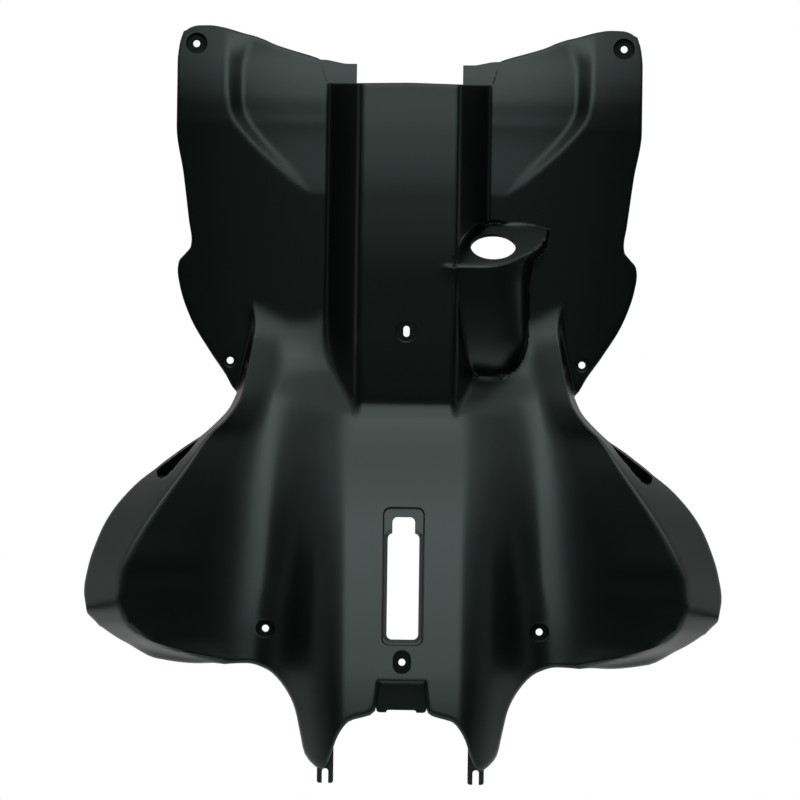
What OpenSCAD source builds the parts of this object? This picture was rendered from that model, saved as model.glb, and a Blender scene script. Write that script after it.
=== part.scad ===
// Inner leg shield of a scooter, moulded in one piece.
// X runs across, Z up, and the rider's side faces -Y. The origin is midway between the two ear screws,
// on their seats. Heights are given as drops below that line, and depths as reach towards the rider.

/* [Shell] */
// Thickness of the moulded wall
wall = 3; // [2.5:0.5:3.5]
// Radius of the rolled edge round the whole outline
edge_r = 3; // [2:0.5:4]
// Width of the rolled flange along the ears
ear_flange = 16; // [8:1:20]
// Width of the return along the wings, legs and arch
wing_return = 6; // [4:1:8]
// How far the ear panels are sunk behind their border
panel_sink = 6; // [3:0.5:8]

/* [Steering column cover] */
// Half width of the cover's face
cover_half = 38; // [34:1:42]
// Half width of the cover at its root
cover_root = 66; // [62:1:70]
// Drop of the cover's open top edge
cover_top = 30; // [28:1:32]

/* [Screws] */
// Distance between the two ear screws
ear_screw_span = 342; // [338:1:346]
// Radius of the hole that each screw passes through
screw_r = 2.75; // [2.5:0.25:3.25]
// Radius of the deep wells that take the screw heads
well_r = 8.5; // [8:0.5:9]
// Distance between the two foot screws
foot_screw_span = 218; // [214:1:222]
// Drop of the foot screws
foot_screw_drop = 466; // [462:1:470]
// Distance between the two lower side screws
side_screw_span = 281; // [279:1:283]
// Drop of the lower side screws
side_screw_drop = 253; // [251:1:255]

/* [Ignition lock] */
// Radius of the round hole for the lock barrel
lock_r = 18; // [16:0.5:19]
// Angle by which the lock's face looks up
lock_tilt = 55; // [50:1:60]

/* [Tunnel slot] */
// Width of the slot's opening
slot_w = 25; // [22:1:27]
// Height of the slot's opening
slot_h = 84; // [80:1:88]
// Depth of the frame sunk round the slot
slot_sink = 2; // [1.5:0.25:2.25]

/* [Hidden] */
eps = 0.01;

// Smooth curve through the rows of a rail, where each row is [position, value]
function rail_slope(p, i) =
    i == 0 ? (p[1][1] - p[0][1]) / (p[1][0] - p[0][0])
    : i == len(p) - 1 ? (p[i][1] - p[i - 1][1]) / (p[i][0] - p[i - 1][0])
    : let(a = (p[i][1] - p[i - 1][1]) / (p[i][0] - p[i - 1][0]),
          b = (p[i + 1][1] - p[i][1]) / (p[i + 1][0] - p[i][0]))
      a * b <= 0 ? 0 : 2 * a * b / (a + b);
function rail_span(p, at, i = 0) = i >= len(p) - 2 || at < p[i + 1][0] ? i : rail_span(p, at, i + 1);
function rail(p, at) =
    at <= p[0][0] ? p[0][1]
    : at >= p[len(p) - 1][0] ? p[len(p) - 1][1]
    : let(i = rail_span(p, at), w = p[i + 1][0] - p[i][0], t = (at - p[i][0]) / w,
          m0 = rail_slope(p, i) * w, m1 = rail_slope(p, i + 1) * w)
      p[i][1] * (1 + 2 * t) * (1 - t) * (1 - t) + m0 * t * (1 - t) * (1 - t)
      + p[i + 1][1] * t * t * (3 - 2 * t) + m1 * t * t * (t - 1);

function clamp01(t) = min(1, max(0, t));
function mix(a, b, t) = a + (b - a) * t;
// Straight flank with a rounding at each end, which takes the share w of its width
function flank(t, w) =
    t <= 0 ? 0 : t >= 1 ? 1
    : t < w ? t * t / (2 * w * (1 - w))
    : t > 1 - w ? 1 - (1 - t) * (1 - t) / (2 * w * (1 - w))
    : (t - w / 2) / (1 - w);
// Rise that starts level and goes on straight, also past its end
function rise(t, w) =
    t <= 0 ? 0 : t < w ? t * t / (2 * w * (1 - w / 2)) : (t - w / 2) / (1 - w / 2);
// Larger or smaller of two surfaces, with a fillet where they cross
function join_max(a, b, k) = let(h = max(k - abs(a - b), 0) / k) max(a, b) + h * h * k / 4;
function join_min(a, b, k) = let(h = max(k - abs(a - b), 0) / k) min(a, b) - h * h * k / 4;

// Outline of the ears and of the wings: half width at each drop
ear_edge = [[-8, 181.6], [-5, 183.2], [2, 184.8], [14, 186], [66, 186], [104, 180], [142, 175],
            [157, 172.8], [163, 173.5], [169, 178], [175, 182.8], [181, 183.6], [194, 181.6], [219, 172.8],
            [245, 157], [262, 145], [277, 136], [290, 120]];
wing_edge = [[215, 108], [227, 117], [246, 120], [262, 127], [277, 136.5], [290, 142.5], [309, 160],
             [328, 184], [354, 217], [379, 237], [398, 246], [418, 252.5], [437, 255.5], [450, 255],
             [462, 248], [475, 232], [484, 214], [494, 192]];
// Top edge of the shield: drop at each distance from the middle
top_edge = [[0, cover_top + 3], [60, cover_top + 4], [66, cover_top + 2], [72, 17], [78, 12], [84, 10.2],
            [96, 6.8], [102, 5], [110, 2.2], [117, -1], [125, -3.8], [133, -5.8], [141, -8.2],
            [150, -10.6], [160, -12], [170, -11.8], [177, -10.5], [183, -7.8]];
// How far the top of the ears leans back
top_lean = [[-15, 21], [0, 14], [15, 8], [30, 3.5], [45, 1], [62, 0]];
// Reach of the cover's face, of the tunnel's crown and of the valley beside it, at each drop
cover_reach = [[30, 36], [70, 41], [120, 45], [180, 47], [235, 47], [275, 45], [290, 40], [340, 0]];
tunnel_reach = [[170, -40], [205, -3], [235, 5], [259, 15], [271, 28], [284, 45], [300, 56],
                [345, 81], [385, 99], [420, 113], [455, 125], [485, 133], [507, 138], [540, 143],
                [575, 146]];
valley_reach = [[170, -40], [205, -8], [235, 2], [259, 11], [284, 28], [311, 40], [363, 58], [410, 68],
                [459, 76], [495, 80], [540, 84], [575, 86]];
tunnel_half = [[200, 37], [290, 40], [340, 44], [520, 44]];
valley_half = [[180, 84], [227, 88], [262, 94], [287, 104], [320, 108], [363, 110], [420, 113],
               [460, 118], [500, 120], [570, 112]];
// Crest of the wings: half width and reach at each drop
crest_half = [[-15, 168], [110, 166], [160, 150], [200, 112], [227, 103], [245, 105], [262, 109],
              [281, 123], [300, 141], [313, 157], [338, 174], [366, 194], [386, 207], [406, 218],
              [429, 225.5], [444, 225.5], [461, 220], [475, 205], [485, 178], [493, 142]];
crest_reach = [[170, -40], [205, -6], [227, 4], [245, 18], [262, 34], [281, 46], [300, 54], [338, 72],
               [386, 94], [420, 107], [444, 110], [461, 108], [475, 102], [485, 94], [493, 84]];
// Reach of the wings' outer edge at each drop
rim_reach = [[215, -16], [262, -16], [284, -10], [300, 0], [338, 18], [386, 40], [420, 52], [450, 60],
             [470, 64], [485, 68], [494, 74]];
// Border of the sunk ear panels: its outer and inner line at each drop
border_out = [[-5, 148], [10, 147], [27, 146.5], [46, 145], [57, 142], [75, 128], [91, 112], [107, 95],
              [119, 79]];
border_in = [[-5, 124], [4, 128], [16, 132.5], [40, 133.5], [51, 132.5], [60, 129], [75, 118],
             [91, 102.5], [107, 86], [119, 77]];
border_depth = [[-8, 0.4], [12, 1], [60, 1], [119, 0]];

function outline(drop) = max(rail(ear_edge, drop), rail(wing_edge, drop));

// Reach of the ears and the column cover
function ear_reach(x, drop) =
    let(out = clamp01((x - cover_root) / 120),
        side = flank((cover_root - x) / (cover_root - cover_half), 0.14),
        line_out = rail(border_out, drop),
        line_in = rail(border_in, drop),
        sink = drop > 119 ? 0
            : panel_sink * rail(border_depth, drop)
              * flank((line_out - x) / max(line_out - line_in, 1), 0.15),
        sheet = -10 * out * out - sink - rail(top_lean, drop) - max(0, drop - 280) * 0.6)
    sheet + side * (rail(cover_reach, drop) - sheet);

// Reach of the tunnel, the valleys and the wings
function wing_reach(x, drop) =
    let(half = rail(tunnel_half, drop),
        foot = rail(valley_half, drop),
        crest = rail(crest_half, drop),
        edge = max(rail(wing_edge, drop), crest + 6),
        crown = rail(tunnel_reach, drop),
        low = rail(valley_reach, drop),
        top = rail(crest_reach, drop),
        rim = rail(rim_reach, drop),
        inside = x < foot ? mix(crown, low, flank((x - half) / (foot - half), 0.42))
            : low + (top - low) * rise((x - foot) / (crest - foot), 0.45),
        band = top + (rim - top) * (x - crest) / (edge - crest))
    x < foot ? inside : join_min(inside, band, 4);

// Lock housing on the rider's right: a shelf that looks up, over a bulge that runs out below it
shelf_lip = [175, 47];
shelf_top = [[37.6, 175], [40, 163], [44, 153.6], [49, 147], [56, 141.5], [69.6, 138.4], [84, 141.5],
             [112, 144.5]];
housing_out = [[138, 70], [146, 112], [160, 109], [172, 100], [190, 97], [230, 97], [255, 90], [266, 78],
               [273, 64]];
housing_front = [[175, 47], [225, 42], [250, 34], [264, 20], [273, 0]];
function housing_reach(x, drop) =
    let(shelf = shelf_lip[1] - (shelf_lip[0] - drop) * tan(lock_tilt),
        out = rail(housing_out, drop),
        away = clamp01((x - 58) / (out - 58)),
        bulge = rail(housing_front, drop) * (away < 1 ? sqrt(1 - away * away) : -1))
    drop > 273 || x < 30 || x > out ? -50 : join_min(shelf, bulge, 3);

function reach(x, drop) =
    let(body = join_max(ear_reach(abs(x), drop), wing_reach(abs(x), drop), 8),
        housing = housing_reach(x, drop),
        cut = drop > shelf_lip[0] + 1 ? 0
            : flank((drop - rail(shelf_top, x)) / 2.5, 0.3) * flank((x - 36.5) / 3, 0.3)
              * flank((rail(housing_out, drop) - x) / 4, 0.3))
    x > 0 ? mix(join_max(body, housing, 3), housing, cut) : body;

// Stations across one half of the shield, at the guide lines that the net follows
face_at = 3;
root_at = 8;
valley_at = 12;
crest_at = 20;
edge_at = 24;
// Station of each column of the net, from the middle outwards
stations = [0, 1.5, 3, 4.25, 5.5, 6.75, 8, 9.3, 10.6, 12, 13.5, 15, 16.5, 18.3, 20, 21, 22, 24];
half_columns = len(stations) - 1;
// Rows of the net: how many lead down to each drop
row_runs = [[4, 110], [2, 138], [7, 175], [2, 188], [3, 240], [5, 296], [6, 440]];
level_rows = 29;
crest_row = 31;
hem_row = 34;

// Share of the crest-to-edge stretch that the wing's band takes
band_share = [[200, 0.6], [227, 0.22], [245, 0.3], [260, 0.5], [277, 0.6]];
function run_drop(top, j, k = 0) =
    j <= row_runs[k][0] ? mix(top, row_runs[k][1], j / row_runs[k][0])
    : run_drop(row_runs[k][1], j - row_runs[k][0], k + 1);

// Half width of station a at a drop
function station_x(a, drop) =
    let(root = mix(cover_root, 78, clamp01((drop - 200) / 90)),
        face = cover_half + clamp01((drop - 200) / 140) * 6,
        foot = rail(valley_half, drop),
        crest = rail(crest_half, drop),
        edge = outline(drop) - edge_r,
        share = rail(band_share, drop),
        b = a - crest_at)
    a <= face_at ? face * a / face_at
    : a <= root_at ? mix(face, root, (a - face_at) / (root_at - face_at))
    : a <= valley_at ? mix(root, foot, (a - root_at) / (valley_at - root_at))
    : a <= crest_at ? mix(foot, crest, (a - valley_at) / (crest_at - valley_at))
    : mix(crest, edge, b <= 2 ? share * b / 2 : share + (1 - share) * (b - 2) / 2);

// Lower hem and the crest line above it: [station, half width, drop]
hem = [[0, 0, 505], [3, 20, 505], [4, 25, 517], [5, 29, 530], [6, 45, 538], [7, 54, 551], [8, 58, 565],
       [9, 63, 574], [10, 75, 563], [11, 78.5, 548], [12, 83, 528], [13, 92, 510], [14, 106, 496],
       [15, 123, 491], [17, 160, 493], [19, 197, 489], [20, 216, 480], [22, 230, 472], [24, 241, 464]];
crest_hem = [[0, 0, 490], [3, 24, 490], [4, 33, 500], [5, 42, 511], [6, 51, 521], [7, 59, 530],
             [8, 63, 538], [9, 67, 541], [10, 72, 534], [11, 77, 520], [12, 84, 505], [13, 93, 494],
             [14, 106, 485], [15, 122, 482], [17, 158, 484], [19, 199, 474], [20, 214, 465],
             [22, 233, 462], [24, 250, 455]];
function hem_point(line, a) =
    [rail([for (p = line) [p[0], p[1]]], a), rail([for (p = line) [p[0], p[2]]], a)];

// Place of the net at station a and row j: [half width, drop]
function net_place(a, j) =
    let(top = rail(top_edge, station_x(a, 20)))
    j <= level_rows
    ? let(drop = run_drop(top, j)) [station_x(a, drop), drop]
    : j <= crest_row
    ? let(drop = run_drop(top, level_rows), from = [station_x(a, drop), drop])
      mix(from, hem_point(crest_hem, a), (j - level_rows) / (crest_row - level_rows))
    : mix(hem_point(crest_hem, a), hem_point(hem, a), (j - crest_row) / (hem_row - crest_row));

function net_point(i, j) =
    let(p = net_place(stations[abs(i)], j), x = sign(i) * p[0]) [x, -reach(x, p[1]), -p[1]];

columns = 2 * half_columns;
across = columns + 1;
down = hem_row + 1;
net = [for (j = [0:hem_row]) [for (i = [-half_columns:half_columns]) net_point(i, j)]];

function unit(v) = v / max(norm(v), eps);
function net_normal(i, j) =
    unit(cross(net[min(j + 1, hem_row)][i] - net[max(j - 1, 0)][i],
               net[j][min(i + 1, columns)] - net[j][max(i - 1, 0)]));

// Walk round the rim of the net: along the top, down the right, back along the hem and up the left,
// each with the net point next to it on the inside
rim_walk = concat(
    [for (i = [0:columns - 1]) [i, 0, i, 1]],
    [for (j = [0:hem_row - 1]) [columns, j, columns - 1, j]],
    [for (i = [columns:-1:1]) [i, hem_row, i, hem_row - 1]],
    [for (j = [hem_row:-1:1]) [0, j, 1, j]]);
rim_count = len(rim_walk);
rim = [for (w = rim_walk) net[w[1]][w[0]]];
rim_inside = [for (w = rim_walk) net[w[3]][w[2]]];
function rim_along(k) = unit(rim[(k + 1) % rim_count] - rim[(k + rim_count - 1) % rim_count]);
// Direction in which the sheet leaves its rim
function rim_across(k) =
    let(along = rim_along(k), step = rim[k] - rim_inside[k]) unit(step - along * (step * along));
function flange_at(k) =
    let(p = rim[k], drop = -p[2], x = abs(p[0]))
    x < 72 && drop < 40 ? 4
    : drop < 262 ? mix(ear_flange, wing_return, clamp01((drop - 225) / 35))
    : wing_return;
backward = [0, 1, 0];
// Rings of the rolled edge, and last the end of the flange
rings = [
    [for (k = [0:rim_count - 1]) rim[k] + edge_r * (0.7 * rim_across(k) + 0.3 * backward)],
    [for (k = [0:rim_count - 1]) rim[k] + edge_r * (rim_across(k) + backward)],
    [for (k = [0:rim_count - 1]) rim[k] + edge_r * rim_across(k) + flange_at(k) * backward]];
ring_count = len(rings);
function ring_before(r, k) = r == 0 ? rim[k] : rings[r - 1][k];
function ring_normal(r, k) =
    let(near = rings[r], next = near[(k + 1) % rim_count], last = near[(k + rim_count - 1) % rim_count],
        beyond = r + 1 < ring_count ? rings[r + 1][k] : near[k])
    unit(cross(next - last, beyond - ring_before(r, k)));

front = concat([for (row = net) each row], [for (ring = rings) each ring]);
back = concat(
    [for (j = [0:hem_row]) for (i = [0:columns]) net[j][i] - wall * net_normal(i, j)],
    [for (r = [0:ring_count - 1]) for (k = [0:rim_count - 1]) rings[r][k] - wall * ring_normal(r, k)]);
function ring_id(r, k) =
    let(w = rim_walk[k % rim_count])
    r == 0 ? w[1] * across + w[0] : across * down + (r - 1) * rim_count + k % rim_count;
// Two triangles for the four corners a, b, c, d, on the front and turned over on the back
function quad(a, b, c, d) = [[a, b, c], [a, c, d]];
function over(tri, n) = [tri[0] + n, tri[2] + n, tri[1] + n];
front_faces = concat(
    [for (j = [0:hem_row - 1]) for (i = [0:columns - 1])
        let(a = j * across + i, b = a + across) each quad(a, a + 1, b + 1, b)],
    [for (r = [0:ring_count - 1]) for (k = [0:rim_count - 1])
        each quad(ring_id(r, k), ring_id(r + 1, k), ring_id(r + 1, k + 1), ring_id(r, k + 1))]);
edge_faces = [for (k = [0:rim_count - 1])
    let(a = ring_id(ring_count, k), b = ring_id(ring_count, k + 1), n = len(front))
    each quad(a, a + n, b + n, b)];

module shell() {
    faces = concat(front_faces, [for (tri = front_faces) over(tri, len(front))], edge_faces);
    polyhedron(concat(front, back), faces);
}

// Solid of revolution along Y: its front face at a reach, going back by a depth
module peg(x, drop, front_reach, depth, r) {
    translate([x, -front_reach, -drop]) rotate([-90, 0, 0]) cylinder(r = r, h = depth, $fn = 32);
}
// The same with a slot's outline, taller than wide
module slot_peg(x, drop, front_reach, depth, w, h) {
    translate([x, -front_reach, -drop]) rotate([-90, 0, 0]) linear_extrude(depth) {
        square([w, h - w], center = true);
        for (side = [-1, 1]) translate([0, side * (h - w) / 2]) circle(d = w, $fn = 24);
    }
}

// The same with a rounded rectangle's outline
module pad(x, drop, front_reach, depth, w, h, r) {
    translate([x, -front_reach, -drop]) rotate([-90, 0, 0]) linear_extrude(depth)
        offset(r = r, $fn = 16) square([w - 2 * r, h - 2 * r], center = true);
}
// Band across the tunnel between two depths below its crown, over the height of the slot's frame
band_steps = 4;
module crown_band(from_depth, to_depth) {
    top = frame_drop - frame_h / 2 - 4;
    drops = [for (k = [0:band_steps]) top + (frame_h + 8) * k / band_steps];
    front_line = [for (k = [0:band_steps]) [from_depth - rail(tunnel_reach, drops[k]), -drops[k]]];
    back_line = [for (k = [band_steps:-1:0]) [to_depth - rail(tunnel_reach, drops[k]), -drops[k]]];
    translate([-frame_w, 0, 0]) rotate([90, 0, 90]) linear_extrude(2 * frame_w)
        polygon(concat(front_line, back_line));
}

ear_x = ear_screw_span / 2;
foot_x = foot_screw_span / 2;
side_x = side_screw_span / 2;
ear_face = ear_reach(ear_x, 0);
foot_face = wing_reach(foot_x, foot_screw_drop);
side_face = ear_reach(side_x, side_screw_drop);
// Drops of the column screw and of the screw below the slot
column_drop = 228;
centre_drop = 491;
column_face = rail(cover_reach, column_drop);
centre_face = rail(tunnel_reach, centre_drop);
// Depth of the wells from mouth to seat, and thickness of their walls and floors
well_depth = 12;
well_wall = 2.5;
foot_well_r = 7.5;
side_well_r = 5.5;
centre_well_r = 7;
// Middle of the slot's frame and of its opening, and the narrower neck above the opening
frame_drop = 423;
frame_w = 33;
frame_h = 110;
slot_drop = 431;
neck_w = 18;

// Cups behind the wall round the screw wells
module cup(x, drop, face, depth, r) {
    peg(x, drop, face - 1, depth + well_wall - 1, r + well_wall);
}
module cups() {
    for (side = [-1, 1]) {
        cup(side * ear_x, 0, ear_face, well_depth, well_r);
        cup(side * foot_x, foot_screw_drop, foot_face, well_depth, foot_well_r);
        cup(side * side_x, side_screw_drop, side_face, 3, side_well_r);
    }
    cup(0, column_drop, column_face, 3, well_r);
    cup(0, centre_drop, centre_face, 6, centre_well_r);
}
// Well from the open front down to its seat, and the screw's hole through the seat
module well(x, drop, face, depth, r) {
    peg(x, drop, face + 15, depth + 15, r);
}
module wells() {
    for (side = [-1, 1]) {
        well(side * ear_x, 0, ear_face, well_depth, well_r);
        peg(side * ear_x, 0, ear_face, 60, screw_r);
        well(side * foot_x, foot_screw_drop, foot_face, well_depth, foot_well_r);
        peg(side * foot_x, foot_screw_drop, foot_face, 60, screw_r);
        well(side * side_x, side_screw_drop, side_face, 3, side_well_r);
        peg(side * side_x, side_screw_drop, side_face, 60, screw_r);
    }
    well(0, column_drop, column_face, 3, well_r);
    slot_peg(0, column_drop, column_face, 60, 5.5, 10);
    well(0, centre_drop, centre_face, 6, centre_well_r);
    peg(0, centre_drop, centre_face, 60, screw_r);
}

// Thicker floor behind the slot's frame, the frame's recess and the opening with its neck
module frame_floor() {
    intersection() {
        crown_band(1.2, 5);
        pad(0, frame_drop, 200, 200, frame_w + 6, frame_h + 6, 9);
    }
}
module frame_recess() {
    intersection() {
        crown_band(-30, slot_sink);
        pad(0, frame_drop, 200, 200, frame_w, frame_h, 6);
    }
}
module tunnel_slot() {
    frame_recess();
    pad(0, slot_drop, 200, 200, slot_w, slot_h, 5);
    pad(0, slot_drop - slot_h / 2 - 3, 200, 200, neck_w, 20, 4);
}

module lock_hole() {
    translate([68.3, -24.4, -159.2]) rotate([90 - lock_tilt, 0, 0])
        cylinder(r = lock_r, h = 40, center = true, $fn = 48);
}

// Tongue that carries on below the tunnel's edge, set back by the edge's return
module tongue() {
    difference() {
        pad(0, 517, 133, 3.5, 40, 28, 3);
        pad(0, 532, 140, 20, 24, 6, 2);
    }
}
// Forked hooks behind the leg tips
hook_x = 59.8;
hook_w = 13;
module hooks() {
    for (side = [-1, 1]) {
        difference() {
            pad(side * hook_x, 566.6, 130.6, 4.2, hook_w, 42, 2);
            slot_peg(side * hook_x, 586, 140, 20, 5, 20);
        }
    }
}
// Shallow finger scoops at the upper ends of the rim bands
module scoop(side) {
    from = [162, 309];
    to = [189, 334];
    a = [side * from[0], -reach(from[0], from[1]), -from[1]];
    b = [side * to[0], -reach(to[0], to[1]), -to[1]];
    way = b - a;
    mid = (from + to) / 2;
    slope_x = reach(mid[0] + 1, mid[1]) - reach(mid[0], mid[1]);
    slope_down = reach(mid[0], mid[1] + 1) - reach(mid[0], mid[1]);
    up = unit([-side * slope_x, -1, slope_down]);
    r = 8;
    start = a + up * (r + 0.4);
    turn = b + up * (r - 2) - start;
    translate(start) rotate([0, acos(turn[2] / norm(turn)), atan2(turn[1], turn[0])])
        cylinder(r = r, h = norm(turn), $fn = 24);
}

// The whole moulding, moved so that the ear screws' seats lie at Y = 0
seat_reach = ear_face - well_depth;
module leg_shield() {
    translate([0, seat_reach, 0]) color([0.09, 0.1, 0.1]) difference() {
        union() {
            shell();
            cups();
            frame_floor();
            tongue();
            hooks();
        }
        wells();
        tunnel_slot();
        lock_hole();
        scoop(1);
        scoop(-1);
    }
}

leg_shield();
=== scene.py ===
import math

import bmesh
import bpy
import numpy as np
from mathutils import Matrix, Vector


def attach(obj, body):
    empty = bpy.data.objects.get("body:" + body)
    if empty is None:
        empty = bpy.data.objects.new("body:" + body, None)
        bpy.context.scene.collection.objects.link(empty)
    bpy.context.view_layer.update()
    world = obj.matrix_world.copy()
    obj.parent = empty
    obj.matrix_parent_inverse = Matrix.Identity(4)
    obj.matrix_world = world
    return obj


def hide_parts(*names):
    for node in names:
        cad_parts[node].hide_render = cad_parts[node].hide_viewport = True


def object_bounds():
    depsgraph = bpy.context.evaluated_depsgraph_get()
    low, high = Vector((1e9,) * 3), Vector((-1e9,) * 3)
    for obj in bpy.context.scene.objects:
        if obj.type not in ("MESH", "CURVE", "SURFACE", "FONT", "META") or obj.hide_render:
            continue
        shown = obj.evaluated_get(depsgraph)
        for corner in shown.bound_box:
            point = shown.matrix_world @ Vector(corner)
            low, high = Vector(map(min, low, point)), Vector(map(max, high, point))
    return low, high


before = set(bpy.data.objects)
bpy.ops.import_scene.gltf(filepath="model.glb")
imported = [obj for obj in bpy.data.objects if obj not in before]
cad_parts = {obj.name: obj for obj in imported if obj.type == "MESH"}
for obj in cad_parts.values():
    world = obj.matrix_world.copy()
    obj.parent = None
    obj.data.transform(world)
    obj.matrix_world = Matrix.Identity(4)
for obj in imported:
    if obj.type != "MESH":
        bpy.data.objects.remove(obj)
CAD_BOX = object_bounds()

# Lengths are in millimetres until a mesh is made. A drop is the height below the line between the two
# ear screws, and a reach is the depth towards the rider, who is on the -Y side.
MM = 0.001
WALL = 3.0
# Radius of the rim and length of the flange behind it: at the ears, at the cover's open top, and from the
# wings down
EAR_EDGE_R = 1.4
EDGE_R = 3.0
EAR_FLANGE = 16.0
COVER_FLANGE = 4.0
WING_RETURN = 6.0
# Drop at which the ears' rim starts to turn into the wings', and how far down that takes
RIM_CHANGE = (225.0, 35.0)
# Below this drop the rim has the wings' flange
WING_START = 262.0
# How deep the ear panels are sunk inside their border, and the drop at which that ends
PANEL_SINK = 4.4
PANEL_END = 119.0
# The ears bend back by this much over this width
EAR_BEND = (10.0, 120.0)
# Steering column cover: half width of its face and at its root, and drop of its open top
COVER_HALF = 38.0
COVER_ROOT = 66.0
COVER_TOP = 30.0
# Screws: distance from the middle, drop, depth of the well, radius of the well
EAR_SCREW = (171.0, 0.0, 12.0, 8.5)
FOOT_SCREW = (109.0, 466.0, 12.0, 7.5)
SIDE_SCREW = (140.5, 253.0, 3.0, 5.5)
COLUMN_SCREW = (0.0, 228.0, 3.0, 8.5)
SLOT_SCREW = (0.0, 491.0, 6.0, 7.0)
SCREW_R = 2.75
# Wall round a screw's well, and how far its front end lies under the skin
CUP_WALL = 2.5
CUP_SINK = 1.5
# How far a cutter reaches in front of the face, and how far a through hole goes back
CUT_OVER = 15.0
CUT_THROUGH = 60.0
# The column screw's slot: width, height, corner radius
COLUMN_SLOT = (5.0, 8.6, 2.4)
# How far the slot screw's well is longer than wide
SLOT_WELL_LONGER = 5.0
LOCK_R = 18.0
# Middle of the lock's hole, and how far its cutter starts above the shelf
LOCK_CENTRE = (68.3, 159.2, 24.4, 12.0)
LOCK_TILT = math.radians(55)
# Where the ears' sheet goes on behind the cover's top: its top line, its lower edge, how far it lies
# behind the sheet's face, and the points of its net
TAB_TOP = [(42.4, 14.6), (50, 14.6), (60, 13), (66, 11.8), (73, 11.4), (80, 9)]
TAB_END = 42.0
TAB_BACK = 0.12
TAB_ROWS, TAB_COLS = 14, 20
# Finger scoop in the wing's band: outline at the front and at the floor, reach of both, and its wall
SCOOP_MOUTH = [(164.5, 316.2), (174.8, 323.8), (182.8, 329.8), (191, 336), (197.5, 341.5), (199, 345),
               (197, 348.6), (193, 349.4), (189, 347), (185.5, 342.5), (178, 333), (171, 324.8)]
SCOOP_FLOOR = [(164.5, 316.2), (174.8, 323.8), (182.8, 329.8), (191, 336), (195.5, 339.5), (196.5, 340.5),
               (195.5, 341.8), (192.5, 342.2), (189, 341), (184.5, 338.5), (178, 332), (171, 324.8)]
SCOOP_REACH = (60.0, -2.0)
SCOOP_WALL = 1.8
# The slot's frame: middle, width, height; its opening; and the neck above the opening
FRAME = (423.0, 33.0, 110.0)
OPENING = (431.0, 25.0, 84.0)
NECK = (386.0, 18.0, 20.0)
# Rim behind the frame and steep lip round the opening: added size, corner radius, reach over the crown,
# depth under it and taper of the deep end. The frame itself is sunk in the same way.
FRAME_BACK = (6.0, 9.0, -1.2, 7.5, 0.0)
FRAME_SINK = (0.0, 6.0, 0.01, 2.0, 0.8)
OPENING_LIP = (5.6, 7.0, -1.9, 7.6, 2.8)
# Straight cutters of the opening: where they start and how deep they go
SLOT_CUT = (200.0, 200.0)
# Tongue in the arch and its joggle, and a leg's hook and its fork: width, height, corner radius, drop of
# the middle, reach of the front and depth
TONGUE = (40.0, 28.0, 3.0, 517.0, 133.0, 3.5)
JOGGLE = (24.0, 6.0, 2.0, 532.0, 140.0, 20.0)
HOOK = (13.0, 42.0, 2.0, 566.6, 130.6, 4.2)
FORK = (5.0, 20.0, 2.5, 586.0, 140.0, 20.0)
HOOK_AT = 59.8

# Guide lines, each a list of (position, value)
EAR_EDGE = [(-8, 181.6), (-5, 183.2), (2, 184.8), (14, 186), (66, 186), (104, 180), (142, 175), (157, 172.8),
            (163, 173.5), (169, 178), (175, 182.8), (181, 183.6), (194, 181.6), (219, 172.8), (245, 157),
            (262, 145), (277, 136), (290, 120)]
WING_EDGE = [(215, 108), (227, 117), (246, 120), (262, 127), (277, 136.5), (290, 142.5), (309, 160),
             (328, 184), (354, 217), (379, 237), (398, 246), (418, 252.5), (437, 255.5), (450, 255),
             (462, 248), (475, 232), (484, 214), (494, 192)]
TOP_EDGE = [(0, COVER_TOP + 1), (60, COVER_TOP + 2), (65.5, COVER_TOP + 1), (67.5, COVER_TOP - 2),
            (72, 13), (78, 10.4), (84, 8.6), (96, 5.2), (102, 3.4), (110, 0.6), (117, -2.6), (125, -5.4),
            (133, -7.4), (141, -9.8), (150, -12.2), (160, -13.6), (170, -13.4), (177, -12.1), (183, -9.4)]
# How far the top of the ears leans back
TOP_LEAN = [(-15, 21), (0, 14), (15, 8), (30, 3.5), (45, 1), (62, 0)]
COVER_REACH = [(30, 36), (70, 41), (120, 45), (180, 47), (235, 47), (275, 46.4), (291, 45.5), (302, 42),
               (340, 0)]
TUNNEL_REACH = [(170, -40), (205, -3), (235, 5), (259, 15), (275, 29), (286, 40), (293, 46), (302, 51),
                (312, 56.5), (345, 76), (365, 87.5), (385, 98), (420, 113), (455, 125), (485, 133),
                (507, 138), (540, 143), (575, 146)]
VALLEY_REACH = [(170, -40), (205, -14), (228, -3), (240, 2), (259, 12), (284, 28), (311, 40), (363, 58),
                (410, 68), (459, 76), (495, 80), (540, 84), (575, 86)]
TUNNEL_HALF = [(200, 37), (290, 40), (340, 44), (520, 44)]
VALLEY_HALF = [(180, 84), (227, 88), (262, 94), (287, 104), (320, 108), (363, 110), (420, 113), (460, 118),
               (500, 120), (570, 112)]
CREST_HALF = [(-15, 168), (110, 166), (160, 150), (200, 126), (227, 122), (245, 124), (262, 127), (281, 131),
              (300, 143), (313, 157), (338, 174), (366, 194), (386, 207), (406, 218), (429, 225.5),
              (444, 225.5), (461, 220), (475, 205), (485, 178), (493, 142)]
CREST_REACH = [(170, -40), (205, -9), (227, 1), (245, 11), (262, 23), (281, 37), (300, 49), (338, 71),
               (386, 94), (420, 107), (444, 110), (461, 108), (475, 102), (485, 94), (493, 84)]
RIM_REACH = [(170, -60), (200, -30), (215, -18), (262, -12), (284, -6), (300, 0), (338, 18), (386, 40),
             (420, 52), (450, 60), (470, 64), (485, 68), (494, 74)]
BORDER_OUT = [(-5, 148), (10, 147), (27, 146.5), (46, 145), (57, 142), (75, 128), (91, 112), (107, 95),
              (119, 79)]
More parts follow.
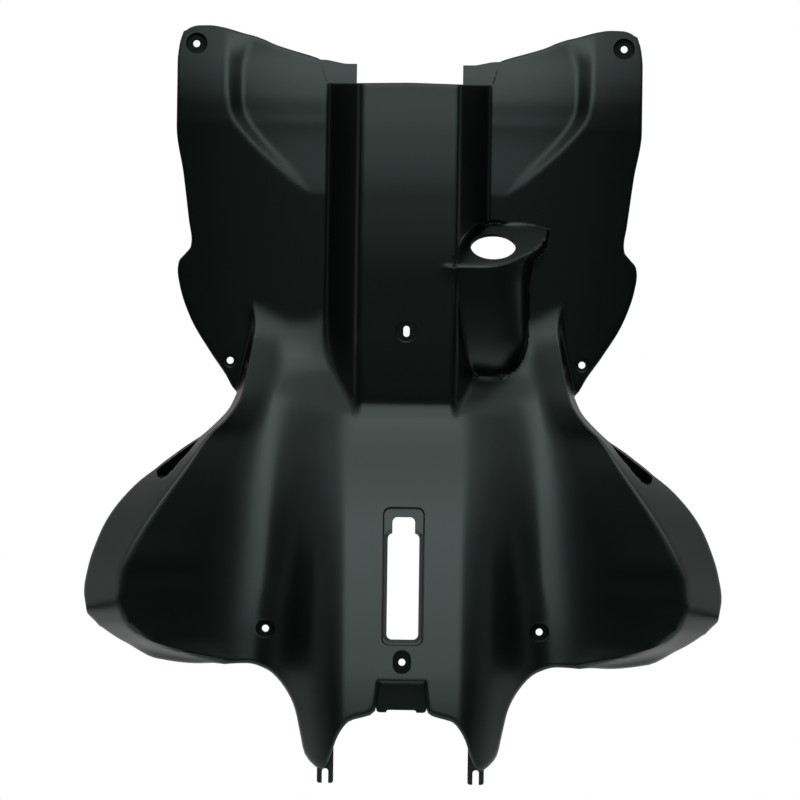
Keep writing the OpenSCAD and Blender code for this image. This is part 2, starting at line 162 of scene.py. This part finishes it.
BORDER_IN = [(-5, 124), (4, 128), (16, 132.5), (40, 133.5), (51, 132.5), (60, 129), (75, 118),
             (91, 102.5), (107, 86), (119, 77)]
BORDER_DEPTH = [(-8, 0.4), (12, 1), (45, 1), (119, 0)]
HOUSING_OUT = [(138, 70), (146, 112), (160, 109), (172, 100), (190, 97), (230, 97), (255, 90), (266, 78),
               (273, 64)]
HOUSING_FRONT = [(175, 47), (200, 43), (225, 37), (250, 28), (264, 16), (273, 0)]
# The bulge under the lock: where its side starts to turn back, how square the turn is, and where it ends
HOUSING_FLAT = 58
HOUSING_ROUND = 2.6
HOUSING_END = 273
SHELF_LIP = (175, 47)
SHELF_TOP = [(37.6, 175), (40, 163), (44, 153.6), (49, 147), (56, 141.5), (69.6, 138.4), (84, 141.5),
             (112, 144.5)]
# Share of the wing's outer band that the net's first two stations beyond the crest take up
BAND_SHARE = [(200, 0.6), (227, 0.22), (245, 0.3), (260, 0.5), (277, 0.6)]
# Lower end of the net, as (station, half width, drop): the hem, and the crease above it
HEM = [(0, 0, 505), (3, 20, 505), (4, 21.8, 517), (5, 23.5, 529), (6, 43, 536), (7, 53, 550), (8, 58, 565),
       (9, 63, 574), (10, 75, 563), (11, 78.5, 548), (12, 83, 528), (13, 92, 510), (14, 106, 496),
       (15, 123, 491), (17, 160, 493), (19, 197, 489), (20, 216, 480), (22, 230, 472), (24, 241, 464)]
CREST_HEM = [(0, 0, 490), (3, 24, 490), (4, 33, 500), (5, 42, 511), (6, 51, 521), (7, 59, 530), (8, 63, 538),
             (9, 67, 541), (10, 72, 534), (11, 77, 520), (12, 84, 505), (13, 93, 494), (14, 106, 485),
             (15, 122, 482), (17, 158, 484), (19, 199, 474), (20, 214, 465), (22, 233, 462), (24, 250, 455)]


def rail(points, at):
    """Smooth curve through the points, without overshoot, at each of the places."""
    x = np.array([p[0] for p in points], float)
    y = np.array([p[1] for p in points], float)
    run = np.diff(x)
    grade = np.diff(y) / run
    slope = np.empty_like(y)
    slope[0], slope[-1] = grade[0], grade[-1]
    both = grade[:-1] * grade[1:]
    total = grade[:-1] + grade[1:]
    slope[1:-1] = np.where(both > 0, 2 * both / np.where(total == 0, 1, total), 0)
    at = np.clip(np.asarray(at, float), x[0], x[-1])
    i = np.clip(np.searchsorted(x, at, side="right") - 1, 0, len(run) - 1)
    t = (at - x[i]) / run[i]
    return (y[i] * (1 + 2 * t) * (1 - t) ** 2 + slope[i] * run[i] * t * (1 - t) ** 2
            + y[i + 1] * t * t * (3 - 2 * t) + slope[i + 1] * run[i] * t * t * (t - 1))


def mix(a, b, t):
    return a + (b - a) * t


def clamp01(t):
    return np.clip(t, 0, 1)


def flank(t, w):
    """Straight flank from 0 to 1 with a rounding at each end, which takes the share w of its width."""
    t = clamp01(t)
    return np.where(t < w, t * t / (2 * w * (1 - w)),
                    np.where(t > 1 - w, 1 - (1 - t) ** 2 / (2 * w * (1 - w)), (t - w / 2) / (1 - w)))


def rise(t, w):
    """Rise that starts level and goes on straight, also past its end."""
    t = np.maximum(t, 0)
    return np.where(t < w, t * t / (2 * w * (1 - w / 2)), (t - w / 2) / (1 - w / 2))


def join_max(a, b, k):
    h = np.maximum(k - np.abs(a - b), 0) / k
    return np.maximum(a, b) + h * h * k / 4


def join_min(a, b, k):
    h = np.maximum(k - np.abs(a - b), 0) / k
    return np.minimum(a, b) - h * h * k / 4


def sheet_reach(x, drop):
    """Reach of the ears, also behind the column cover."""
    bend, width = EAR_BEND
    out = clamp01((x - COVER_ROOT) / width)
    line_out = rail(BORDER_OUT, drop)
    line_in = rail(BORDER_IN, drop)
    sink = PANEL_SINK * rail(BORDER_DEPTH, drop) * flank(
        (line_out - x) / np.maximum(line_out - line_in, 1), 0.12)
    sink = np.where(drop > PANEL_END, 0, sink)
    return -bend * out * out - sink - rail(TOP_LEAN, drop) - np.maximum(0, drop - 280) * 0.6


def ear_reach(x, drop):
    """Reach of the ears and the column cover."""
    side = flank((COVER_ROOT - x) / (COVER_ROOT - COVER_HALF), 0.14)
    return mix(sheet_reach(x, drop), rail(COVER_REACH, drop), side)


def wing_reach(x, drop):
    """Reach of the tunnel, the valleys beside it and the wings."""
    half = rail(TUNNEL_HALF, drop)
    foot = rail(VALLEY_HALF, drop)
    crest = rail(CREST_HALF, drop)
    edge = np.maximum(rail(WING_EDGE, drop), crest + 6)
    crown = rail(TUNNEL_REACH, drop)
    low = rail(VALLEY_REACH, drop)
    top = rail(CREST_REACH, drop)
    rim = rail(RIM_REACH, drop)
    tunnel = mix(crown, low, flank((x - half) / (foot - half), 0.42))
    wing = low + (top - low) * rise((x - foot) / (crest - foot), 0.45)
    band = top + (rim - top) * (x - crest) / (edge - crest)
    return np.where(x < foot, tunnel, join_min(wing, band, 4))


def housing_reach(x, drop):
    """Reach of the lock's shelf and of the bulge below it."""
    shelf = SHELF_LIP[1] - (SHELF_LIP[0] - drop) * math.tan(LOCK_TILT)
    out = rail(HOUSING_OUT, drop)
    away = clamp01((x - HOUSING_FLAT) / (out - HOUSING_FLAT))
    bulge = rail(HOUSING_FRONT, drop) * np.where(
        away < 1, (1 - away ** HOUSING_ROUND) ** (1 / HOUSING_ROUND), -1)
    return np.where((drop > HOUSING_END) | (x < 30) | (x > out), -50, join_min(shelf, bulge, 3))


def reach(x, drop):
    """Reach of the whole face. The shelf cuts into the cover and the ear on the lock's side."""
    body = join_max(ear_reach(np.abs(x), drop), wing_reach(np.abs(x), drop), 8)
    housing = housing_reach(x, drop)
    cut = (flank((drop - rail(SHELF_TOP, x)) / 2.5, 0.3) * flank((x - 36.5) / 3, 0.3)
           * flank((rail(HOUSING_OUT, drop) - x) / 4, 0.3) * (drop < SHELF_LIP[0] + 1))
    return np.where(x > 0, mix(join_max(body, housing, 3), housing, cut), body)


FACE_AT, ROOT_AT, VALLEY_AT, CREST_AT, EDGE_AT = 3, 8, 12, 20, 24
# Fineness of the net: columns up to each station, on the left and on the lock's side, and rows down to
# each drop
LEFT_COLUMNS = [(3, 10), (8, 18), (12, 12), (20, 32), (24, 16)]
RIGHT_COLUMNS = [(3, 12), (8, 32), (12, 20), (20, 32), (24, 16)]
ROW_RUNS = [(34, 110), (16, 136), (40, 178), (10, 190), (18, 240), (24, 296), (32, 440)]
CREST_ROWS = 12
HEM_ROWS = 8


def toward_wing(drop):
    """0 at the ears' rim and 1 at the wings'."""
    start, length = RIM_CHANGE
    return clamp01((drop - start) / length)


def edge_radius(drop):
    return mix(EAR_EDGE_R, EDGE_R, toward_wing(drop))


def station_x(a, drop):
    """Half width at station a and a drop."""
    root = mix(COVER_ROOT, 78, clamp01((drop - 200) / 90))
    face = COVER_HALF + clamp01((drop - 200) / 140) * 6
    foot = rail(VALLEY_HALF, drop)
    crest = rail(CREST_HALF, drop)
    edge = np.maximum(rail(EAR_EDGE, drop), rail(WING_EDGE, drop)) - edge_radius(drop)
    share = rail(BAND_SHARE, drop)
    b = a - CREST_AT
    beyond = mix(crest, edge, np.where(b <= 2, share * b / 2, share + (1 - share) * (b - 2) / 2))
    return np.select(
        [a <= FACE_AT, a <= ROOT_AT, a <= VALLEY_AT, a <= CREST_AT],
        [face * a / FACE_AT,
         mix(face, root, (a - FACE_AT) / (ROOT_AT - FACE_AT)),
         mix(root, foot, (a - ROOT_AT) / (VALLEY_AT - ROOT_AT)),
         mix(foot, crest, (a - VALLEY_AT) / (CREST_AT - VALLEY_AT))], beyond)


def half_net(columns):
    """Half widths and drops of the net's points on one half, row by row."""
    stations = [0.0]
    for end, count in columns:
        start = stations[-1]
        stations += [mix(start, end, (n + 1) / count) for n in range(count)]
    a = np.array(stations)
    top = rail(TOP_EDGE, station_x(a, np.full_like(a, 20)))
    xs, drops = [], []
    start = top
    for count, end in ROW_RUNS:
        for n in range(count):
            drop = mix(start, end, n / count)
            xs.append(station_x(a, drop))
            drops.append(drop)
        start = np.full_like(a, end)
    from_x, from_drop = station_x(a, start), start
    crest_x = rail([(p[0], p[1]) for p in CREST_HEM], a)
    crest_drop = rail([(p[0], p[2]) for p in CREST_HEM], a)
    hem_x = rail([(p[0], p[1]) for p in HEM], a)
    hem_drop = rail([(p[0], p[2]) for p in HEM], a)
    for n in range(CREST_ROWS):
        xs.append(mix(from_x, crest_x, n / CREST_ROWS))
        drops.append(mix(from_drop, crest_drop, n / CREST_ROWS))
    for n in range(HEM_ROWS + 1):
        xs.append(mix(crest_x, hem_x, n / HEM_ROWS))
        drops.append(mix(crest_drop, hem_drop, n / HEM_ROWS))
    return np.array(xs), np.array(drops)


def unit(v):
    return v / np.maximum(np.linalg.norm(v, axis=-1, keepdims=True), 1e-9)


def shell_parts():
    """Points and faces of the closed shell, in millimetres."""
    left_x, left_drop = half_net(LEFT_COLUMNS)
    right_x, right_drop = half_net(RIGHT_COLUMNS)
    x = np.hstack([-left_x[:, :0:-1], right_x])
    drop = np.hstack([left_drop[:, :0:-1], right_drop])
    net = np.stack([x, -reach(x, drop), -drop], axis=-1)
    rows, cols = net.shape[:2]

    down = np.vstack([net[1:2] - net[0:1], net[2:] - net[:-2], net[-1:] - net[-2:-1]])
    side = np.hstack([net[:, 1:2] - net[:, 0:1], net[:, 2:] - net[:, :-2], net[:, -1:] - net[:, -2:-1]])
    normal = unit(np.cross(down, side))

    walk = ([(0, i, 1, i) for i in range(cols - 1)]
            + [(j, cols - 1, j, cols - 2) for j in range(rows - 1)]
            + [(rows - 1, i, rows - 2, i) for i in range(cols - 1, 0, -1)]
            + [(j, 0, j, 1) for j in range(rows - 1, 0, -1)])
    walk = np.array(walk)
    rim = net[walk[:, 0], walk[:, 1]]
    inside = net[walk[:, 2], walk[:, 3]]
    along = unit(np.roll(rim, -1, 0) - np.roll(rim, 1, 0))
    step = rim - inside
    across = unit(step - along * np.sum(step * along, axis=1, keepdims=True))
    back_way = np.array([0.0, 1.0, 0.0])
    rim_drop, rim_x = -rim[:, 2], np.abs(rim[:, 0])
    flange = np.where((rim_x < 72) & (rim_drop < 40), COVER_FLANGE,
                      mix(EAR_FLANGE, WING_RETURN, toward_wing(rim_drop)))
    flange = np.where(rim_drop > WING_START, WING_RETURN, flange)[:, None]
    radius = edge_radius(rim_drop)[:, None]
    rings = []
    for turn in (25, 50, 75, 90):
        t = math.radians(turn)
        rings.append(rim + radius * (math.sin(t) * across + (1 - math.cos(t)) * back_way))
    for share in (0.33, 0.66, 1):
        rings.append(rim + radius * across + mix(radius, flange, share) * back_way)

    front = [net.reshape(-1, 3)] + rings
    inner = [(net - WALL * normal).reshape(-1, 3)]
    before = rim
    for r, ring in enumerate(rings):
        beyond = rings[r + 1] if r + 1 < len(rings) else ring
        n = unit(np.cross(np.roll(ring, -1, 0) - np.roll(ring, 1, 0), beyond - before))
        inner.append(ring - WALL * n)
        before = ring
    points = np.vstack(front + inner)
    size = len(points) // 2

    grid = np.arange(rows * cols).reshape(rows, cols)
    quads = np.stack([grid[:-1, :-1], grid[:-1, 1:], grid[1:, 1:], grid[1:, :-1]], axis=-1).reshape(-1, 4)
    last = walk[:, 0] * cols + walk[:, 1]
    sheets = [quads]
    for r in range(len(rings)):
        ring = rows * cols + r * len(walk) + np.arange(len(walk))
        sheets.append(np.stack([last, ring, np.roll(ring, -1), np.roll(last, -1)], axis=-1))
        last = ring
    out_faces = np.vstack(sheets)
    edge_faces = np.stack([last, last + size, np.roll(last, -1) + size, np.roll(last, -1)], axis=-1)
    # Seen from outside the corners run clockwise here, so each face is turned over for Blender
    return points, np.vstack([out_faces[:, ::-1], out_faces + size, edge_faces[:, ::-1]])


def mesh_object(name, points, faces):
    mesh = bpy.data.meshes.new(name)
    mesh.from_pydata((np.asarray(points) * MM).tolist(), [], [list(face) for face in faces])
    mesh.validate()
    made = bpy.data.objects.new(name, mesh)
    bpy.context.scene.collection.objects.link(made)
    return made


def closed_bar(points, faces):
    """Closed solid for cutting or joining, with its faces turned outwards."""
    made = mesh_object("bar", points, faces)
    work = bmesh.new()
    work.from_mesh(made.data)
    bmesh.ops.recalc_face_normals(work, faces=work.faces)
    work.to_mesh(made.data)
    work.free()
    return made


def rounded(w, h, r, sides=12):
    """Outline of a rounded rectangle, as points around its middle."""
    corners = [(w / 2 - r, h / 2 - r, 0), (r - w / 2, h / 2 - r, 90), (r - w / 2, r - h / 2, 180),
               (w / 2 - r, r - h / 2, 270)]
    points = []
    for cx, cz, start in corners:
        for k in range(sides + 1):
            t = math.radians(start + 90 * k / sides)
            points.append((cx + r * math.cos(t), cz + r * math.sin(t)))
    return points


def loft(front, back):
    """Closed bar between two outlines of as many points."""
    n = len(front)
    faces = [range(n), range(2 * n - 1, n - 1, -1)]
    faces += [(k, k + n, (k + 1) % n + n, (k + 1) % n) for k in range(n)]
    return closed_bar(list(front) + list(back), faces)


def bar(outline, x, drop, front, depth, tilt=0.0):
    """Bar with an outline that goes back along Y from a reach, tilted about its front end's middle."""
    c, s = math.cos(tilt), math.sin(tilt)
    return loft(*[[(x + px, -front + back * c - pz * s, -drop + back * s + pz * c) for px, pz in outline]
                  for back in (0, depth)])


def peg(x, drop, front, depth, r, tilt=0.0):
    return bar(rounded(2 * r, 2 * r, r), x, drop, front, depth, tilt)


def under_skin(outline, back_reach):
    """Bar whose front end lies just under the skin all round, and whose back end is flat."""
    front = [(x, CUP_SINK - float(reach(np.array(float(x)), np.array(float(drop)))), -drop)
             for x, drop in outline]
    return loft(front, [(x, -back_reach, -drop) for x, drop in outline])


def cup(x, drop, face, depth, r, longer):
    """Wall of a screw's well."""
    line = rounded(2 * r, 2 * r + longer, r)
    return under_skin([(x + px, drop - pz) for px, pz in line], face - depth)


def grown(outline, by):
    """Outline moved outwards by a distance."""
    line = np.array(outline, float)
    along = unit(np.roll(line, -1, 0) - np.roll(line, 1, 0))
    out = np.stack([along[:, 1], -along[:, 0]], axis=1)
    middle = line.mean(axis=0)
    turn = np.sign(np.sum(out * (line - middle)))
    return line + by * turn * out


def ear_tab(side):
    """Sheet that carries the sunk ear panel on behind the cover's open top."""
    rows, cols = TAB_ROWS, TAB_COLS
    front = []
    for x in np.linspace(TAB_TOP[0][0], TAB_TOP[-1][0], cols):
        for drop in np.linspace(float(rail(TAB_TOP, x)), TAB_END, rows):
            front.append((side * x, TAB_BACK - float(sheet_reach(x, drop)), -drop))
    n = len(front)
    points = front + [(x, y + WALL, z) for x, y, z in front]
    faces = []
    for c in range(cols - 1):
        for r in range(rows - 1):
            a = c * rows + r
            faces += [(a, a + 1, a + rows + 1, a + rows),
                      (n + a, n + a + rows, n + a + rows + 1, n + a + 1)]
    rim = [c * rows for c in range(cols)] + [(cols - 1) * rows + r for r in range(1, rows)]
    rim += [c * rows + rows - 1 for c in range(cols - 2, -1, -1)] + list(range(rows - 2, 0, -1))
    faces += [(a, b, b + n, a + n) for a, b in zip(rim, rim[1:] + rim[:1])]
    return closed_bar(points, faces)


def scoop_parts(side):
    """Wall of a finger scoop and the cutter of its pocket."""
    wall = under_skin([(side * x, drop) for x, drop in grown(SCOOP_MOUTH, SCOOP_WALL)],
                      SCOOP_REACH[1] - SCOOP_WALL)
    ends = [[(side * x, -at, -drop) for x, drop in line]
            for line, at in zip((SCOOP_MOUTH, SCOOP_FLOOR), SCOOP_REACH)]
    return wall, loft(*ends)


def crown_bar(place, shape, steps=60):
    """Bar with a rounded outline whose two ends lie over and under the tunnel's crown by given depths.

    The place is the middle's drop, width and height, and the shape is what the comment at FRAME_BACK
    names. The end under the crown is smaller by the taper on each side."""
    drop, w, h = place
    larger, r, over, under, taper = shape
    w, h = w + larger, h + larger
    points = []
    for k in range(steps + 1):
        for depth, inward in ((over, 0.0), (-under, taper)):
            tall, wide, corner = h - 2 * inward, w - 2 * inward, max(r - inward, 0.5)
            z = -tall / 2 * math.cos(math.pi * k / steps)
            inset = max(0.0, abs(z) - (tall / 2 - corner))
            half = max(wide / 2 - corner + math.sqrt(max(0.0, corner * corner - inset * inset)), 0.05)
            front = float(rail(TUNNEL_REACH, drop + z)) + depth
            row = [(-half, -front, -drop - z), (half, -front, -drop - z)]
            points += row if depth == over else row[::-1]
    faces = [(0, 1, 2, 3), [len(points) - 1 - k for k in range(4)]]
    for a in range(0, len(points) - 4, 4):
        faces += [(a + m, a + (m + 1) % 4, a + 4 + (m + 1) % 4, a + 4 + m) for m in range(4)]
    return closed_bar(points, faces)


def combine(target, tools, operation):
    """Joins or cuts the target with each tool, and deletes the tools."""
    for other in tools:
        step = target.modifiers.new("step", "BOOLEAN")
        step.operation = operation
        step.solver = "MANIFOLD"
        step.object = other
        bpy.context.view_layer.update()
        result = target.evaluated_get(bpy.context.evaluated_depsgraph_get())
        done = bpy.data.meshes.new_from_object(result)
        target.modifiers.remove(step)
        target.data = done
        bpy.data.objects.remove(other)


def black_plastic():
    """Satin black plastic with a fine grain and a faint green cast."""
    made = bpy.data.materials.new("black_plastic")
    made.use_nodes = True
    nodes, links = made.node_tree.nodes, made.node_tree.links
    shader = nodes["Principled BSDF"]
    shader.inputs["Base Color"].default_value = (0.0008, 0.0024, 0.002, 1)
    shader.inputs["Specular Tint"].default_value = (0.8, 1, 0.95, 1)
    shader.inputs["Roughness"].default_value = 0.3
    place = nodes.new("ShaderNodeTexCoord")
    grain = nodes.new("ShaderNodeTexNoise")
    grain.inputs["Scale"].default_value = 1400
    grain.inputs["Detail"].default_value = 3
    links.new(place.outputs["Object"], grain.inputs["Vector"])
    bump = nodes.new("ShaderNodeBump")
    bump.inputs["Strength"].default_value = 0.12
    bump.inputs["Distance"].default_value = 0.0001
    links.new(grain.outputs["Fac"], bump.inputs["Height"])
    # Soft radius along the cut edges
    edge = nodes.new("ShaderNodeBevel")
    edge.inputs["Radius"].default_value = 0.0009
    edge.samples = 6
    links.new(edge.outputs["Normal"], bump.inputs["Normal"])
    links.new(bump.outputs["Normal"], shader.inputs["Normal"])
    return made


def screws():
    """Each screw's place, the reach of the face around it, and its well's depth, radius and added length."""
    for side in (-1, 1):
        for x, drop, depth, r in (EAR_SCREW, SIDE_SCREW):
            yield side * x, drop, float(ear_reach(x, drop)), depth, r, 0
        x, drop, depth, r = FOOT_SCREW
        yield side * x, drop, float(wing_reach(x, drop)), depth, r, 0
    yield 0, COLUMN_SCREW[1], float(rail(COVER_REACH, COLUMN_SCREW[1])), *COLUMN_SCREW[2:], 0
    yield 0, SLOT_SCREW[1], float(rail(TUNNEL_REACH, SLOT_SCREW[1])), *SLOT_SCREW[2:], SLOT_WELL_LONGER


def slab(shape, x=0.0):
    """Bar as the comment at TONGUE lists it."""
    w, h, r, drop, front, depth = shape
    return bar(rounded(w, h, r), x, drop, front, depth)


def added_solids():
    """Wells' walls, slot's frame, tongue, hooks and sheets behind the cover's top."""
    made = [cup(x, drop, face, depth + CUP_WALL, r + CUP_WALL, longer)
            for x, drop, face, depth, r, longer in screws()]
    made.append(crown_bar(FRAME, FRAME_BACK))
    tongue = slab(TONGUE)
    combine(tongue, [slab(JOGGLE)], "DIFFERENCE")
    made.append(tongue)
    for side in (-1, 1):
        hook = slab(HOOK, side * HOOK_AT)
        combine(hook, [slab(FORK, side * HOOK_AT)], "DIFFERENCE")
        made.append(hook)
        made.append(ear_tab(side))
    return made


def cut_solids():
    """Cutters of the wells, the slot and the lock's hole."""
    made = []
    for x, drop, face, depth, r, longer in screws():
        made.append(bar(rounded(2 * r, 2 * r + longer, r), x, drop, face + CUT_OVER, depth + CUT_OVER))
        if (x, drop) == (0, COLUMN_SCREW[1]):
            made.append(bar(rounded(*COLUMN_SLOT), x, drop, face, CUT_THROUGH))
        else:
            made.append(peg(x, drop, face, CUT_THROUGH, SCREW_R))
    made.append(crown_bar(FRAME, FRAME_SINK))
    made.append(crown_bar(OPENING, OPENING_LIP))
    for (drop, w, h), r in ((OPENING, 5), (NECK, 4)):
        made.append(bar(rounded(w, h, r), 0, drop, *SLOT_CUT))
    x, drop, lock_reach, out = LOCK_CENTRE
    made.append(peg(x, drop - out * math.sin(LOCK_TILT), lock_reach + out * math.cos(LOCK_TILT),
                    2.5 * out, LOCK_R, -LOCK_TILT))
    return made


def build_shield():
    """The whole moulding, as one closed mesh."""
    points, faces = shell_parts()
    shield = mesh_object("leg_shield_skin", points, faces)
    scoops = [scoop_parts(side) for side in (-1, 1)]
    combine(shield, added_solids() + [wall for wall, _ in scoops], "UNION")
    combine(shield, cut_solids() + [pocket for _, pocket in scoops], "DIFFERENCE")
    # The frame's origin lies on the ear screws' seats
    seat_reach = float(ear_reach(EAR_SCREW[0], EAR_SCREW[1])) - EAR_SCREW[2]
    shield.data.transform(Matrix.Translation((0, seat_reach * MM, 0)))
    shield.data.materials.clear()
    shield.data.materials.append(black_plastic())
    shield.data.shade_smooth()
    shield.data.set_sharp_from_angle(angle=math.radians(40))
    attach(shield, "root")
    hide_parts("leg_shield")


# Light that the floor sends back on to the object, far from it and right under it, and the distances
# from the pool's middle at which those two start
FLOOR_GLOW = (0.08, 0.8)
GLOW_RANGE = (0.9, 0.4)
GLOW_MIDDLE_Y = 0.15
FLOOR_HALF = 2.5
FLOOR_GAP = 0.002


def backdrop_material():
    """White to the camera, and a soft glow to what it lights."""
    made = bpy.data.materials.new("white_ground")
    made.use_nodes = True
    nodes, links = made.node_tree.nodes, made.node_tree.links
    nodes.remove(nodes["Principled BSDF"])
    place = nodes.new("ShaderNodeNewGeometry")
    away = nodes.new("ShaderNodeVectorMath")
    away.operation = "DISTANCE"
    links.new(place.outputs["Position"], away.inputs[0])
    away.inputs[1].default_value = (0, GLOW_MIDDLE_Y, CAD_BOX[0][2])
    pool = nodes.new("ShaderNodeMapRange")
    pool.interpolation_type = "SMOOTHSTEP"
    pool.inputs["From Min"].default_value = GLOW_RANGE[0]
    pool.inputs["From Max"].default_value = GLOW_RANGE[1]
    pool.inputs["To Min"].default_value = FLOOR_GLOW[0]
    pool.inputs["To Max"].default_value = FLOOR_GLOW[1]
    links.new(away.outputs["Value"], pool.inputs["Value"])
    around = nodes.new("ShaderNodeEmission")
    links.new(pool.outputs["Result"], around.inputs["Strength"])
    seen = nodes.new("ShaderNodeEmission")
    rays = nodes.new("ShaderNodeLightPath")
    blend = nodes.new("ShaderNodeMixShader")
    links.new(rays.outputs["Is Camera Ray"], blend.inputs["Fac"])
    links.new(around.outputs["Emission"], blend.inputs[1])
    links.new(seen.outputs["Emission"], blend.inputs[2])
    links.new(blend.outputs["Shader"], nodes["Material Output"].inputs["Surface"])
    return made


def build_stage():
    """A pale floor just below the hooks."""
    floor_z = CAD_BOX[0][2] - FLOOR_GAP
    size = FLOOR_HALF
    mesh = bpy.data.meshes.new("floor")
    mesh.from_pydata([(-size, -size, floor_z), (size, -size, floor_z), (size, size, floor_z),
                      (-size, size, floor_z)], [], [[0, 1, 2, 3]])
    floor = bpy.data.objects.new("floor", mesh)
    bpy.context.scene.collection.objects.link(floor)
    mesh.materials.append(backdrop_material())


# How strongly the world lights the object, each a list of (part of the direction, level): by its height
# all round, by its depth for the pale backdrop behind the object, which fades with height, and by its
# width for the sides
WORLD_HEIGHT = [(-1, 0), (0, 0.004), (0.2, 0.02), (0.35, 0.09), (0.5, 0.27), (0.7, 0.56), (0.87, 0.85),
                (1, 0.85)]
WORLD_DEPTH = [(-1, 0), (-0.05, 0), (0.1, 0.1), (0.3, 0.3), (0.5, 0.42), (1, 0.42)]
WORLD_SIDE = [(-1, 0.25), (-0.8, 0), (0.8, 0), (1, 0.25)]


def build_world():
    """White to the camera. It lights the object from above and behind, and hardly from the front."""
    world = bpy.data.worlds.new("studio")
    bpy.context.scene.world = world
    world.use_nodes = True
    nodes, links = world.node_tree.nodes, world.node_tree.links
    place = nodes.new("ShaderNodeTexCoord")
    split = nodes.new("ShaderNodeSeparateXYZ")
    links.new(place.outputs["Generated"], split.inputs["Vector"])

    def remap(axis, low, high, to_low=0.0, to_high=1.0):
        step = nodes.new("ShaderNodeMapRange")
        ends = {"From Min": low, "From Max": high, "To Min": to_low, "To Max": to_high}
        for name, value in ends.items():
            step.inputs[name].default_value = value
        links.new(split.outputs[axis], step.inputs["Value"])
        return step.outputs["Result"]

    def levels(axis, table):
        ramp = nodes.new("ShaderNodeValToRGB")
        steps = ramp.color_ramp.elements
        for n, (at, level) in enumerate(table):
            step = steps[n] if n < 2 else steps.new(1)
            step.position = (at + 1) / 2
            step.color = (level, level, level, 1)
        links.new(remap(axis, -1, 1), ramp.inputs["Fac"])
        return ramp.outputs["Color"]

    def times(a, b, add=None):
        step = nodes.new("ShaderNodeMath")
        step.operation = "MULTIPLY" if add is None else "MULTIPLY_ADD"
        for socket, value in zip(step.inputs, (a, b, add)):
            if value is not None:
                links.new(value, socket)
        return step.outputs["Value"]

    sides = times(levels("X", WORLD_SIDE), remap("Z", -0.4, 0))
    backdrop = times(levels("Y", WORLD_DEPTH), remap("Z", 0.1, 0.55, 1, 0.35), sides)
    around = nodes["Background"]
    around.inputs["Color"].default_value = (1, 1, 1, 1)
    total = times(levels("Z", WORLD_HEIGHT), remap("Y", 0, 0.5, 1, 0.4), backdrop)
    links.new(total, around.inputs["Strength"])
    seen = nodes.new("ShaderNodeBackground")
    seen.inputs["Color"].default_value = (1, 1, 1, 1)
    rays = nodes.new("ShaderNodeLightPath")
    blend = nodes.new("ShaderNodeMixShader")
    links.new(rays.outputs["Is Camera Ray"], blend.inputs["Fac"])
    links.new(around.outputs["Background"], blend.inputs[1])
    links.new(seen.outputs["Background"], blend.inputs[2])
    links.new(blend.outputs["Shader"], nodes["World Output"].inputs["Surface"])


def area_lamp(name, place, target, size, power):
    lamp = bpy.data.lights.new(name, "AREA")
    lamp.shape = "RECTANGLE"
    lamp.size, lamp.size_y = size
    lamp.energy = power
    made = bpy.data.objects.new(name, lamp)
    made.location = place
    made.rotation_euler = (Vector(target) - Vector(place)).to_track_quat("-Z", "Y").to_euler()
    bpy.context.scene.collection.objects.link(made)


# The photograph: its size, the pixel of the datum line's middle before the roll, the size of one pixel,
# and the roll by which the object leans clockwise
PHOTO_PX = 800
DATUM_PX = (405.5, 46.5)
MM_PER_PX = 0.8
ROLL = math.radians(0.8)
# The camera stands far away, because the photograph shows hardly any perspective
CAMERA_DISTANCE = 22.0
SENSOR = 36
FAR_CLIP = 60


def build_camera():
    """Camera that looks level along +Y, with the photograph's frame."""
    data = bpy.data.cameras.new("camera")
    camera = bpy.data.objects.new("camera", data)
    bpy.context.scene.collection.objects.link(camera)
    bpy.context.scene.camera = camera
    frame_width = PHOTO_PX * MM_PER_PX * MM
    data.sensor_width = SENSOR
    data.lens = SENSOR * CAMERA_DISTANCE / frame_width
    centre_x = (PHOTO_PX / 2 - DATUM_PX[0]) * MM_PER_PX * MM
    centre_z = -(PHOTO_PX / 2 - DATUM_PX[1]) * MM_PER_PX * MM
    camera.location = (centre_x, -CAMERA_DISTANCE, centre_z)
    camera.rotation_euler = (math.radians(90), -ROLL, 0)
    data.clip_end = FAR_CLIP


build_camera()
build_shield()
build_stage()
build_world()
area_lamp("strip_light", (0.0, -3.2, 2.1), (0, 0, -0.3), (1.5, 3.7), 37)
bpy.context.scene.view_settings.view_transform = "Standard"
